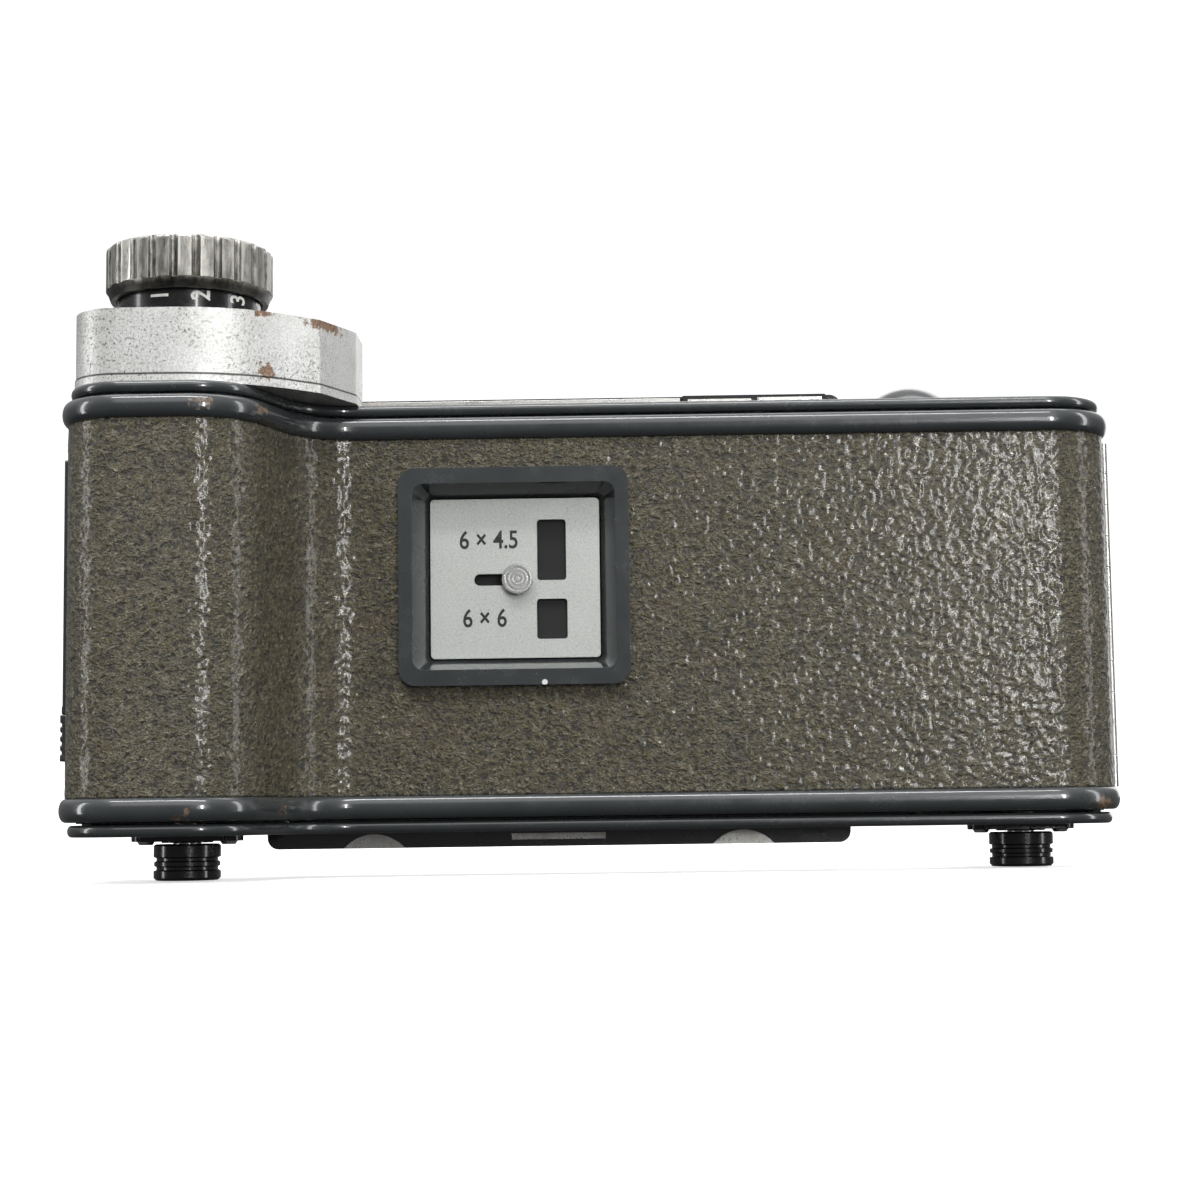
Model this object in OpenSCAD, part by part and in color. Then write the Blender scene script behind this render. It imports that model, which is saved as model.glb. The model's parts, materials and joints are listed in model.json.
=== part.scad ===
// Roll-film holder for 120 film, with a knob wind, a frame counter and a hinged back cover.
// +X is to the right seen from behind, +Y is forward to the camera, +Z is up.
// The origin is the centre of the camera flange's front face, on the optical axis.

/* [Case] */
// Left face of the cover
left_x = -86; // [-86.4:0.1:-85.8]
// Right face of the cover
right_x = 104.6; // [104.5:0.1:104.9]
// Rear face of the flat part of the cover
flat_y = -22; // [-22.2:0.1:-21.9]
// Rear face of the take-up bulge
bulge_y = -49.5; // [-49.8:0.1:-49.2]
// Half of the height of the body casting
case_half_h = 39.75; // [39.5:0.05:40.5]
// Half of the height of the cover
cover_half_h = 37.2; // [37:0.05:37.3]
// Thickness of the casting's upper and lower plates
plate_t = 2.1; // [1.8:0.1:2.2]

/* [Film] */
// Length of a 120 spool
spool_len = 65.8; // [65.4:0.1:66]
// Diameter of a 120 spool's flange
spool_d = 25.2; // [25:0.1:25.4]
// Width of the picture gate
gate_w = 84; // [82:1:85]
// Height of the picture gate
gate_h = 56; // [54:1:57]

/* [Winding] */
// Diameter of the winding knob
knob_d = 30.4; // [30:0.2:31]
// Ribs around the winding knob
knob_ribs = 24; // [20:1:28]
// Diameter of the counter dial
dial_d = 26; // [25:0.5:26]

/* [Studs] */
// Diameter of a spool stud's knob
stud_knob_d = 12; // [11:0.5:12.5]
// Travel of a spool stud
stud_travel = 3.5; // [3:0.1:3.6]

/* [Hidden] */
$fn = 64;
eps = 0.01;

// Plan of the cover's outer face: corner, bulge, S-bend, flat, corner
corner_r = 12;
bend_r = 13;
bend_angle = 71;
bulge_end_x = -63.5;
bend_drop = flat_y - bulge_y - 2 * bend_r * (1 - cos(bend_angle));
bend_straight = bend_drop / sin(bend_angle);
left_c = [left_x + corner_r, bulge_y + corner_r];
convex_c = [bulge_end_x, bulge_y + bend_r];
concave_c = [bulge_end_x + 2 * bend_r * sin(bend_angle) + bend_straight * cos(bend_angle), flat_y - bend_r];
right_c = [right_x - corner_r, flat_y + corner_r];

// Walls
wall_t = 1.8;
skin_t = 0.6;
sheet_t = 1.2;
body_inset = 1.4;
case_left_x = left_x + 0.6;
case_right_x = right_x - 1;
left_front_y = -9;
gate_wall_y = -4.5;
gate_wall_t = 2;
supply_front_y = 10.8;
supply_left_x = 72.4;
supply_corner_r = 6;
step_x = -55.9;
in_z = case_half_h - plate_t;
leather_half_h = 33;
cover_edge_y = -29;
hinge_edge_y = -7.4;

// Film path
film_y = -12.2;
gate_face_y = -11.8;
take_up = [-66.4, -28];
supply = [87.9, -5];
roller_r = 4.6;
meter = [-50.5, film_y - roller_r];
guide_r = 2.6;
guide_roller = [68, film_y + guide_r];
spool_core_r = 6;
spool_bore_r = 3.1;

// Flange
flange_half_w = 55.7;
flange_top = 43.7;
flange_bottom = -42.8;
flange_t = 4.5;
flange_r = 2.2;
flange_screw_x = 50;
flange_screw_z = 34;

// Winding housing and what it holds
base_t = 1.65;
base_top = case_half_h + base_t;
housing_top = 53.3;
housing_t = 1.5;
housing_left_x = -84.9;
housing_rear_y = -46;
housing_right_x = -36.3;
housing_rear_r = 9;
housing_bend_r = 30;
housing_bend = 43;
housing_bend_c = [take_up[0], housing_rear_y + housing_bend_r];
housing_side = 5.7;
housing_edge_r = 2;
housing_bend_2 = 22;
housing_corner_r = 3;
housing_front_y = -9.6;
shaft_r = 2.5;
bush_r = 3.7;
run = 0.05;
dial_bottom = 53.8;
dial_top = 59;
dial_hub_r = 4.6;
knob_bottom = 57.8;
ribs_bottom = 59.3;
knob_top = 67.4;
post_xy = [[-80.5, -17], [-80.5, -35], [-42, -14]];

// Gears: 12 teeth drive 30, 12 drive 30 again, and 14 drive 70
module_mm = 0.3;
small_teeth = 12;
wheel_teeth = 30;
pinion_teeth = 14;
dial_teeth = 70;
wheel_c = module_mm * (small_teeth + wheel_teeth) / 2;
dial_c = module_mm * (pinion_teeth + dial_teeth) / 2;
first_idler_at = meter - [wheel_c, 0];
idler_way = atan2(first_idler_at[1] - take_up[1], first_idler_at[0] - take_up[0]);
idler_far = norm(first_idler_at - take_up);
idler_swing = acos((dial_c ^ 2 + idler_far ^ 2 - wheel_c ^ 2) / (2 * dial_c * idler_far));
second_idler_at = take_up + dial_c * [cos(idler_way - idler_swing), sin(idler_way - idler_swing)];
gear_z = [43.2, 45, 46.8];
gear_t = 1.2;
post_r = 1.2;

// Number window
window_c = [-7.2, 7.2];
window_w = 42.7;
window_h = 40.5;
window_r = 3.2;
window_face_y = -23.5;
opening_w = 37.6;
opening_h = 34.6;
plate_w = 31.6;
plate_h = 29.9;
plate_y = -18.5;
plate_thick = 0.8;
knob_at = window_c + [0.45, -0.25];
shutter_travel = 7;
view_x = window_c[0] + 6.85;
views = [[view_x, window_c[1] + 5.25, 5.4, 11.4], [view_x, window_c[1] - 7.7, 5.7, 7.5]];
filter_c = [view_x, window_c[1] - 0.35];

// Studs
stud_plate_t = 1;
neck_bottom = -41;
stud_knob_top = -41.2;
stud_knob_bottom = -47.7;
stud_pin_r = 2.5;
stud_tip_z = -spool_len / 2 + 3;
stud_collar_z = -37.7 + stud_travel;
stud_spring_z = -40.5;

// Hinge
hinge = [right_x + 0.6, -5.5];
hinge_wall_y = hinge[1] + 2;
hinge_screw_y = 0;
hinge_screw_z = [-27, -11, 11, 27];
knuckle_r = 1.5;
leaf_y = right_c[1] + 0.2;
knuckles = 11;
knuckle_len = 2 * leather_half_h / knuckles;
hinge_pin_r = 0.6;

// Latch
latch_travel = 4;
guide_x = left_x - 2.4;
slide_x = guide_x - 1.4;
thumb_x = guide_x - 1.8;
slide_low = -17.5;
slide_high = 29.5;
thumb_low = -26;

function arc(c, r, a0, a1, n = 10) =
    [for (i = [0:n]) c + r * [cos(a0 + (a1 - a0) * i / n), sin(a0 + (a1 - a0) * i / n)]];

function flipped(pts) = [for (i = [len(pts) - 1:-1:0]) pts[i]];

// The S-bend alone, d inside the outer face
function bend_path(d) = concat(
    arc(convex_c, bend_r - d, 270, 270 + bend_angle),
    arc(concave_c, bend_r + d, 90 + bend_angle, 90)
);

// The whole rear face, d inside it, from the left wall's end to the right wall's end
function rear_path(d, left_end, right_end) = concat(
    [[left_x + d, left_end]],
    arc(left_c, corner_r - d, 180, 270),
    bend_path(d),
    arc(right_c, corner_r - d, 270, 360),
    [[right_x - d, right_end]]
);

// The casting's front, d inside it, from right to left
function front_path(d) = concat(
    arc([case_right_x - supply_corner_r, supply_front_y - supply_corner_r], supply_corner_r - d, 0, 90),
    arc([supply_left_x + supply_corner_r, supply_front_y - supply_corner_r], supply_corner_r - d, 90, 180)
);

module band(d0, d1, z0, z1, left_end, right_end) {
    translate([0, 0, z0])
        linear_extrude(z1 - z0)
            polygon(concat(rear_path(d0, left_end, right_end), flipped(rear_path(d1, left_end, right_end))));
}

module box(lo, hi) {
    translate(lo) cube(hi - lo);
}

module rod(xy, r, z0, z1) {
    translate([xy[0], xy[1], z0]) cylinder(r = r, h = z1 - z0);
}

module ring(xy, r, bore, z0, z1) {
    difference() {
        rod(xy, r, z0, z1);
        rod(xy, bore, z0 - 1, z1 + 1);
    }
}

// A flat plate with round corners that stands across Y
module y_plate(c, w, h, r, y0, y1) {
    translate([c[0], y1, c[1]]) rotate([90, 0, 0]) linear_extrude(y1 - y0) {
        square([w - 2 * r, h], center = true);
        square([w, h - 2 * r], center = true);
        for (i = [-1, 1], j = [-1, 1]) translate([i * (w / 2 - r), j * (h / 2 - r)]) circle(r);
    }
}

module y_rod(xz, r, y0, y1) {
    translate([xz[0], y1, xz[1]]) rotate([90, 0, 0]) cylinder(r = r, h = y1 - y0);
}

// A closed tube of quads: rings of points, joined in order, with flat ends
module loft(rings) {
    n = len(rings[0]);
    m = len(rings);
    polyhedron(
        points = [for (r = rings) each r],
        faces = concat(
            [[for (i = [0:n - 1]) i]],
            [for (k = [0:m - 2], i = [0:n - 1])
                [k * n + i, (k + 1) * n + i, (k + 1) * n + (i + 1) % n, k * n + (i + 1) % n]],
            [[for (i = [n - 1:-1:0]) (m - 1) * n + i]]
        ),
        convexity = 6
    );
}

// A round wire coil about Z
module coil(xy, r, wire_r, z0, z1, turns, steps = 16, sides = 6) {
    total = round(turns * steps);
    loft([for (k = [0:total])
        let (a = 360 * k / steps, z = z0 + wire_r + (z1 - z0 - 2 * wire_r) * k / total)
        [for (j = [0:sides - 1])
            let (b = 360 * j / sides, q = r + wire_r * cos(b))
            [xy[0] + q * cos(a), xy[1] + q * sin(a), z + wire_r * sin(b)]]]);
}

// An involute gear's outline, with a tooth centred at the angle given
pressure = 20;
addendum = 0.8;
dedendum = 1.15;
slack = 0.14;
function involute(a) = tan(a) * 180 / PI - a;
function half_tooth(teeth, r) =
    let (pitch_r = module_mm * teeth / 2, base_r = pitch_r * cos(pressure))
    90 / teeth * (1 - slack) + involute(pressure) - involute(acos(min(1, base_r / max(r, base_r))));
function gear_outline(teeth, at) =
    let (
        pitch_r = module_mm * teeth / 2,
        root_r = pitch_r - dedendum * module_mm,
        tip_r = pitch_r + addendum * module_mm,
        flank = [root_r, max(root_r, pitch_r - 0.4 * module_mm), pitch_r + 0.2 * module_mm, tip_r]
    )
    [for (k = [0:teeth - 1]) each concat(
        [for (i = [0:3]) let (a = at + 360 * k / teeth - half_tooth(teeth, flank[i]))
            flank[i] * [cos(a), sin(a)]],
        [for (i = [3:-1:0]) let (a = at + 360 * k / teeth + half_tooth(teeth, flank[i]))
            flank[i] * [cos(a), sin(a)]]
    )];

module gear(xy, teeth, at, z) {
    translate([xy[0], xy[1], z]) linear_extrude(gear_t) polygon(gear_outline(teeth, at));
}

// ---- The body ----

module case_plate(z) {
    edge = body_inset;
    outline = concat(
        [[case_left_x, left_front_y], [case_left_x, cover_edge_y + 0.3], [left_x + edge, cover_edge_y]],
        arc(left_c, corner_r - edge, 180, 270),
        bend_path(edge),
        arc(right_c, corner_r - edge, 270, 360),
        [[right_x - edge, hinge_wall_y], [case_right_x, hinge_wall_y]],
        front_path(0),
        [[supply_left_x, -1.5], [58, -1.5], [56.3, gate_wall_y]],
        [[step_x, gate_wall_y], [step_x, left_front_y]]
    );
    translate([0, 0, z]) linear_extrude(plate_t) polygon(outline);
}

module supply_wall() {
    t = 1.4;
    rear_left = guide_roller[1] + 1.4;
    translate([0, 0, -in_z - eps]) linear_extrude(2 * in_z + 2 * eps) polygon(concat(
        [[case_right_x, hinge_wall_y]], front_path(0), [[supply_left_x, rear_left]],
        flipped(concat([[case_right_x - t, hinge_wall_y]], front_path(t), [[supply_left_x + t, rear_left]]))
    ));
}

module case_walls() {
    z = in_z + eps;
    left_in = case_left_x + wall_t;
    front_in = left_front_y - wall_t;
    gate_in = gate_wall_y - gate_wall_t;
    box([case_left_x, cover_edge_y + 0.3, -z], [left_in, left_front_y, z]);
    box([case_left_x, front_in, -z], [step_x, left_front_y, z]);
    box([step_x - wall_t, front_in, -z], [step_x, gate_wall_y, z]);
    difference() {
        box([step_x - wall_t, gate_in, -z], [supply_left_x + 1, gate_wall_y, z]);
        box([-gate_w / 2 - 1, gate_in - 1, -gate_h / 2 - 1], [gate_w / 2 + 1, 0, gate_h / 2 + 1]);
    }
    supply_wall();
}

peg_z = [-12, 24];
peg_y = [-22, -18];

module latch_slots(x0, x1) {
    for (z = peg_z) box([x0, peg_y[0] - 0.3, z - 1.8 - latch_travel], [x1, peg_y[1] + 0.3, z + 1.8]);
}

module body_casting() color("#3b4247") difference() {
    union() {
        for (z = [-case_half_h, in_z]) case_plate(z);
        case_walls();
    }
    rod(take_up, 5, in_z - 1, case_half_h + 1);
    rod(meter, post_r + run, in_z - 1, case_half_h + 1);
    rod(meter, post_r + run, -39, -in_z + 1);
    rod(guide_roller, post_r + run, in_z - 1, case_half_h + 1);
    rod(guide_roller, post_r + run, -39, -in_z + 1);
    rod(supply, 2.5, in_z - 1, case_half_h + 1);
    for (c = [take_up, supply]) {
        rod(c, 4.2, -case_half_h - 1, -in_z + 1);
        for (i = [-1, 1]) rod(c + [7.5 * i, 0], 0.9, -case_half_h - 1, -38.2);
    }
    for (i = [-1, 1], j = [-1, 1]) y_rod([i * flange_screw_x, j * flange_screw_z], 1.25, -6.3, 0);
    hinge_bores(case_right_x - 1.2);
    latch_slots(case_left_x - 1, case_left_x + wall_t + 1);
}

module camera_flange() color("#1d2022") {
    mid_z = (flange_top + flange_bottom) / 2;
    difference() {
        y_plate([0, mid_z], 2 * flange_half_w, flange_top - flange_bottom, flange_r, -flange_t, 0);
        box([-gate_w / 2, -flange_t - 1, -gate_h / 2], [gate_w / 2, 1, gate_h / 2]);
        for (i = [-1, 1], j = [-1, 1]) translate([i * flange_screw_x, 0, j * flange_screw_z]) {
            rotate([90, 0, 0]) cylinder(r = 1.5, h = 6);
            rotate([90, 0, 0]) cylinder(r1 = 2.8, r2 = 1.5, h = 1.5);
        }
    }
}

module flange_screws() color("silver")
    for (i = [-1, 1], j = [-1, 1]) translate([i * flange_screw_x, 0, j * flange_screw_z]) rotate([90, 0, 0])
        difference() {
            union() {
                cylinder(r = 1.25, h = 6.3);
                cylinder(r1 = 2.7, r2 = 1.25, h = 1.5);
            }
            translate([-3, -0.3, -1]) cube([6, 0.6, 1.6]);
        }

module flange_pads() color("silver") for (i = [-1, 1]) intersection() {
    y_rod([35.2 * i, flange_bottom + 2.7 - 7.7], 7.7, -flange_t - 0.5, -flange_t);
    box([-60, -10, flange_bottom], [60, 0, -case_half_h]);
}

module flange_top_strip() color("silver") {
    box([-38, -5.4, 40.6], [24.5, -flange_t, 43.3]);
    box([26, -5.6, 41], [38.3, -5.2, 43]);
    box([39.5, -5.6, 41], [52, -5.2, 43.2]);
}

module flange_catch() color("#26292c")
    translate([0, -flange_t, 0]) rotate([90, 0, 0]) linear_extrude(0.7)
        polygon([[25, 40.4], [54, 40.4], [54, 41.6], [52.6, 43.8], [25, 43.8]]);

module flange_lock_bar() color("silver") box([-8.9, -5, -41.5], [8.9, -flange_t, -40.2]);

module gate_frame() color("#141414") {
    rail_x = 41;
    difference() {
        y_plate([0, 0], 94, 68, 2, gate_face_y, gate_wall_y - gate_wall_t);
        box([-gate_w / 2, -20, -gate_h / 2], [gate_w / 2, 0, gate_h / 2]);
    }
    for (j = [-1, 1]) {
        box([-rail_x, film_y, j * 29.05 - 0.75], [rail_x, gate_face_y + eps, j * 29.05 + 0.75]);
        box([-rail_x, film_y - 0.4, j * 32 - 0.75], [rail_x, gate_face_y + eps, j * 32 + 0.75]);
    }
}

function along(a) = [-sin(a), cos(a)];
function out(a) = [cos(a), sin(a)];

module housing_shape(d) {
    rear_r = housing_rear_r;
    edge_r = housing_edge_r;
    r = housing_corner_r;
    tilt = 270 + housing_bend;
    tilt_2 = tilt + housing_bend_2;
    edge_c = housing_bend_c + (housing_bend_r - edge_r) * out(tilt) + housing_side * along(tilt);
    corner_start = edge_c + (edge_r - r) * out(tilt_2);
    end_x = housing_right_x - r;
    end_c = corner_start + (end_x - corner_start[0]) / along(tilt_2)[0] * along(tilt_2);
    polygon(concat(
        arc([housing_left_x + r, housing_front_y - r], r - d, 90, 180, 6),
        arc([housing_left_x + rear_r, housing_rear_y + rear_r], rear_r - d, 180, 270, 8),
        arc(housing_bend_c, housing_bend_r - d, 270, tilt, 16),
        arc(edge_c, edge_r - d, tilt, tilt_2, 4),
        arc(end_c, r - d, tilt_2, 360, 6),
        arc([end_x, housing_front_y - r], r - d, 0, 90, 6)
    ));
}

module winding_housing() color("#b4b4b0") difference() {
    translate([0, 0, base_top]) linear_extrude(housing_top - base_top) housing_shape(0);
    translate([0, 0, base_top - 1]) linear_extrude(housing_top - housing_t - base_top + 1)
        housing_shape(housing_t);
    rod(take_up, 6, 50, 60);
    for (p = post_xy) {
        rod(p, 1.25, 50, 60);
        translate([p[0], p[1], housing_top - 1.2]) cylinder(r1 = 1.25, r2 = 2.5, h = 1.25);
    }
}

module housing_base_plate() color("#a9a9a5") difference() {
    union() {
        translate([0, 0, case_half_h]) linear_extrude(base_t) housing_shape(-0.2);
        for (p = post_xy) rod(p, 2.2, case_half_h, housing_top - housing_t);
    }
    rod(take_up, 5, 30, 50);
    rod(meter, post_r + run, 30, 50);
    for (p = post_xy) rod(p, 1.25, 46, 60);
}

module housing_screws() color("silver") for (p = post_xy) difference() {
    union() {
        rod(p, 1.25, 46, housing_top);
        translate([p[0], p[1], housing_top - 1.2]) cylinder(r1 = 1.25, r2 = 2.45, h = 1.2);
    }
    box([p[0] - 3, p[1] - 0.3, housing_top - 0.6], [p[0] + 3, p[1] + 0.3, housing_top + 1]);
}

module wind_bush() color("#b08d4a") difference() {
    union() {
        rod(take_up, 5, in_z - 0.6, base_top + 0.9);
        rod(take_up, 6.4, base_top, base_top + 0.9);
        rod(take_up, bush_r, base_top, 56.2);
        rod(take_up, 6.3, 55.9, 56.2);
    }
    rod(take_up, shaft_r + run, 30, 60);
}

module idler_post(c, level) {
    top = gear_z[level + 1] + gear_t;
    rod(c, 2.2, base_top, gear_z[0] - 0.3);
    rod(c, 1.45, base_top, gear_z[level] - 0.2);
    rod(c, post_r, base_top, top + 0.7);
    rod(c, 1.8, top + 0.15, top + 0.7);
}

module idler_posts() color("silver") {
    idler_post(first_idler_at, 0);
    idler_post(second_idler_at, 1);
}

module clutch_spring() color("#8a8f94") coil(take_up, 5.3, 0.3, 56.2, 58.6, 3.5, 14);

module roller_cap() color("#4a4f53") {
    base_r = 8.2;
    rise = 3.9;
    dome_r = (base_r ^ 2 + rise ^ 2) / (2 * rise);
    difference() {
        intersection() {
            translate([guide_roller[0], guide_roller[1], case_half_h + rise - dome_r]) sphere(r = dome_r);
            rod(guide_roller, base_r, case_half_h, case_half_h + 8);
        }
        rod(guide_roller, post_r + run, 30, 42);
    }
}

// A strip bowed in the YZ plane, from x0 to x1, with its ends at y0 and its middle at y1
module bowed_strip(x0, x1, half_len, y0, y1, t) {
    bow = abs(y1 - y0);
    r = (half_len ^ 2 + bow ^ 2) / (2 * bow);
    s = sign(y1 - y0);
    swing = asin(half_len / r);
    function at(a, q) = [y1 - s * r + s * q * cos(a), q * sin(a)];
    translate([x0, 0, 0]) rotate([90, 0, 90]) linear_extrude(x1 - x0) polygon(concat(
        [for (i = [-8:8]) at(swing * i / 8, r)], [for (i = [8:-1:-8]) at(swing * i / 8, r - t)]));
}

module supply_brake_spring() color("#c2a15a")
    bowed_strip(84, 92, 24, supply_front_y - 1.75, supply_front_y - 2.4, 0.3);

module supply_pivot() color("silver") {
    rod(supply, 2.5, 34, case_half_h);
    rod(supply, 5.5, in_z - 1.2, in_z);
    rod(supply, 2.5, 31.4, 35);
    translate([supply[0], supply[1], 30.4]) cylinder(r1 = 1.6, r2 = 2.5, h = 1);
}

module stud_bush(c) difference() {
    union() {
        translate([c[0], c[1], -case_half_h - stud_plate_t]) linear_extrude(stud_plate_t) {
            square([15, 11], center = true);
            for (i = [-1, 1]) translate([7.5 * i, 0]) circle(r = 2.6);
        }
        rod(c, 5.5, -case_half_h - stud_plate_t, -case_half_h);
        rod(c, 4.6, neck_bottom, -case_half_h);
        rod(c, 4.2, -case_half_h, -37.9);
    }
    rod(c, 3.6, stud_spring_z, -30);
    rod(c, stud_pin_r + run, -50, -30);
    for (i = [-1, 1]) rod(c + [7.5 * i, 0], 0.9, -50, -30);
}

module take_up_stud_bush() color("#17181a") stud_bush(take_up);
module supply_stud_bush() color("#17181a") stud_bush(supply);

module stud_plate_screws() color("silver") for (c = [take_up, supply], i = [-1, 1]) {
    p = c + [7.5 * i, 0];
    head_z = -case_half_h - stud_plate_t;
    rod(p, 0.9, head_z, -38.2);
    difference() {
        translate([p[0], p[1], head_z - 0.6]) cylinder(r1 = 1.2, r2 = 1.6, h = 0.6);
        box([p[0] - 3, p[1] - 0.2, head_z - 1], [p[0] + 3, p[1] + 0.2, head_z - 0.3]);
    }
}

module take_up_stud_spring() color("#8a8f94") coil(take_up, 3.05, 0.2, stud_spring_z, stud_collar_z, 5, 12);
module supply_stud_spring() color("#8a8f94") coil(supply, 3.05, 0.2, stud_spring_z, stud_collar_z, 5, 12);

module latch_guide() color("#2c3135") difference() {
    box([guide_x, cover_edge_y + 0.3, -leather_half_h], [case_left_x, -12, leather_half_h]);
    box([guide_x - 1, -26.4, -32], [guide_x + 1.4, -14.4, 32]);
    latch_slots(guide_x - 1, case_left_x + 1);
}

module hinge_knuckles(first, bore) {
    for (k = [first:2:knuckles - 1])
        ring(hinge, knuckle_r, bore, -leather_half_h + k * knuckle_len + 0.05,
            -leather_half_h + (k + 1) * knuckle_len - 0.05);
}

module hinge_bores(x) {
    for (z = hinge_screw_z)
        translate([x, hinge_screw_y, z]) rotate([0, 90, 0]) cylinder(r = 0.8, h = 4);
}

module hinge_leaf_body() color("silver") difference() {
    union() {
        box([case_right_x, hinge_wall_y + 0.2, -leather_half_h], [case_right_x + 0.6, 2.6, leather_half_h]);
        hinge_knuckles(0, hinge_pin_r);
        for (k = [0:2:knuckles - 1]) {
            low = -leather_half_h + k * knuckle_len;
            box([case_right_x, hinge[1] + 1, low + 0.05],
                [hinge[0] - 0.4, hinge_wall_y + 0.2 + eps, low + knuckle_len - 0.05]);
        }
    }
    rod(hinge, hinge_pin_r, -40, 40);
    hinge_bores(case_right_x - 1);
}

module hinge_pin() color("silver") rod(hinge, hinge_pin_r, -leather_half_h - 0.2, leather_half_h + 0.2);

module hinge_screws() color("silver") for (z = hinge_screw_z)
    translate([case_right_x - 1.2, hinge_screw_y, z]) rotate([0, 90, 0]) {
        cylinder(r = 0.8, h = 2);
        translate([0, 0, 1.8]) cylinder(r1 = 1.5, r2 = 1.1, h = 0.45);
    }

// ---- The back cover ----

well_w = opening_w + 3;
well_h = opening_h + 2.8;

module window_hole(w, h, r) {
    y_plate(window_c, w, h, r, flat_y - 3, flat_y + 4);
}

module back_cover() color("#4a5156") difference() {
    union() {
        band(skin_t, skin_t + sheet_t, -cover_half_h, cover_half_h, cover_edge_y, hinge_edge_y);
        for (z = [-cover_half_h, cover_half_h - sheet_t])
            band(skin_t + sheet_t - eps, 4, z, z + sheet_t, cover_edge_y, hinge_edge_y);
    }
    window_hole(well_w, well_h, 2);
}

// One half-round moulding along the cover's edge; z is the side nearer the leather
module rim_moulding(z, up) {
    rise = cover_half_h - leather_half_h;
    stand = skin_t + 1;
    section = concat([[skin_t, 0]], [for (i = [0:8]) let (a = 180 * i / 8)
        [skin_t - stand * pow(sin(a), 0.7), rise * (1 - cos(a)) / 2]], [[skin_t, rise]]);
    clean = [for (i = [1:len(section) - 2]) section[i]];
    paths = [for (p = clean) rear_path(p[0], cover_edge_y, hinge_edge_y)];
    rings = [for (k = [0:len(paths[0]) - 1])
        [for (i = [0:len(clean) - 1]) [paths[i][k][0], paths[i][k][1], z + up * clean[i][1]]]];
    loft(up > 0 ? rings : flipped(rings));
}

module rim_mouldings() color("#4a5156") {
    rim_moulding(leather_half_h, 1);
    rim_moulding(-leather_half_h, -1);
}

module back_leatherette() color("#645d50") difference() {
    band(0, skin_t, -leather_half_h, leather_half_h, cover_edge_y - 0.4, leaf_y);
    window_hole(well_w, well_h, 2);
}

module window_frame() color("#4a5156") difference() {
    floor_y = plate_y + plate_thick;
    union() {
        y_plate(window_c, window_w, window_h, window_r, window_face_y, flat_y);
        y_plate(window_c, well_w, well_h, 2, flat_y, floor_y);
    }
    hull() {
        y_plate(window_c, opening_w, opening_h, 2, window_face_y - 0.02, window_face_y, $fn = 24);
        y_plate(window_c, plate_w + 0.6, plate_h + 0.6, 1, plate_y - 0.1, plate_y, $fn = 24);
    }
    y_plate(window_c, plate_w + 0.6, plate_h + 0.6, 1, plate_y - 1, 0);
}

module window_plate() color("silver") difference() {
    y_plate(window_c, plate_w, plate_h, 0.8, plate_y, plate_y + plate_thick);
    for (v = views) y_plate([v[0], v[1]], v[2], v[3], 0.6, plate_y - 1, plate_y + 2);
    box([knob_at[0] - shutter_travel, plate_y - 1, knob_at[1] - 1.1],
        [knob_at[0], plate_y + 2, knob_at[1] + 1.1]);
    for (x = [knob_at[0] - shutter_travel, knob_at[0]]) y_rod([x, knob_at[1]], 1.1, plate_y - 1, plate_y + 2);
}

tray_y = -15.8;

module filter_retainer() color("#141414") difference() {
    y_plate(window_c, 36, 33.4, 1.5, plate_y + plate_thick, tray_y);
    y_plate(window_c, 33, 30.6, 1, plate_y, -16.75);
    y_plate(filter_c, 9.4, 27.4, 0.5, -17, -16.15);
    y_plate(filter_c, 7.6, 25.6, 0.5, -17, -15);
}

module number_filter() color([0.6, 0.05, 0.05, 0.8]) y_plate(filter_c, 9.2, 27.2, 0.5, -16.72, -16.15);

module hinge_leaf_cover() color("silver") difference() {
    union() {
        box([right_x - skin_t, leaf_y, -leather_half_h], [right_x, hinge_edge_y, leather_half_h]);
        hinge_knuckles(1, hinge_pin_r + run);
        for (k = [1:2:knuckles - 1])
            box([right_x - skin_t, hinge[1] - 2, -leather_half_h + k * knuckle_len + 0.05],
                [hinge[0], hinge[1] - 0.9, -leather_half_h + (k + 1) * knuckle_len - 0.05]);
    }
    rod(hinge, hinge_pin_r + run, -40, 40);
}

module latch_hooks() color("silver") for (z = peg_z) {
    inner = left_x + skin_t + sheet_t;
    difference() {
        box([inner + 0.9, -31.6, z - 2], [inner + 2.1, -15.5, z + 4]);
        box([inner, peg_y[0] - 0.3, z - 3], [inner + 3, peg_y[1] + 0.3, z + 1.8]);
    }
    box([inner, -31.6, z - 2], [inner + 0.9 + eps, -29.3, z + 4]);
}

module cover_light_seal() color("#0c0c0c") for (z = [-cover_half_h - 0.2, cover_half_h])
    band(2, 3.7, z, z + 0.2, cover_edge_y, hinge_edge_y);

module pressure_springs() color("#c2a15a") for (i = [-1, 1])
    bowed_strip(35 * i - 3, 35 * i + 3, 22, flat_y + skin_t + sheet_t + 0.33, -14.35, 0.3);

module pressure_plate() color("#1a1a1a") difference() {
    y_plate([0, 0], 82, 66, 2, -14.15, film_y - 0.45);
    y_plate(filter_c, 9, 27, 1, -20, -10);
}

module shutter_blade() color("#101010") {
    y_plate(filter_c, 7.4, 24.2, 0.5, -17.5, -17);
    box([knob_at[0] - 2.1, -17.5, knob_at[1] - 2.1], [view_x - 3.6, -17, knob_at[1] + 2.1]);
}

module shutter_knob() color("silver") {
    y_rod(knob_at, 1, -18.8, -17.5);
    difference() {
        y_rod(knob_at, 2.85, -20.2, plate_y - 0.2);
        y_rod(knob_at, 2.3, -20.4, -20.05);
    }
    difference() {
        y_rod(knob_at, 1.85, -20.2, -20.04);
        y_rod(knob_at, 1, -20.4, -20.05);
    }
}

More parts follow.
